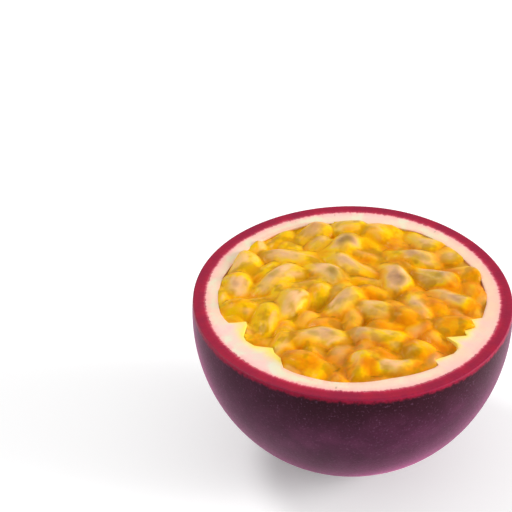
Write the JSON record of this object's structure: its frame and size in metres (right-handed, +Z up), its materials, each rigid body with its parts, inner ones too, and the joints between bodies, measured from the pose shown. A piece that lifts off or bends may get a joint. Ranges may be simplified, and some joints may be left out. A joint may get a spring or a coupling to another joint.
{
  "type": "passion fruit half",
  "caption": "Half of a purple passion fruit, cut across, with a round skin-and-pith peel filled to its cut face with seed sacs.",
  "frame": {"origin": "where the half rests, under the middle of its cut face", "axes": "+Z up, square to the cut face; -Y towards the viewer of the picture; +X to the viewer's right"},
  "size_m": [0.0564, 0.056, 0.0334],
  "materials": {
    "peel": "satin purple skin, crimson and white where it is cut",
    "pulp": "wet, glossy yellow and orange"
  },
  "bodies": {
    "root": {"peel": "peel", "pulp": "pulp"}
  },
  "joints": []
}
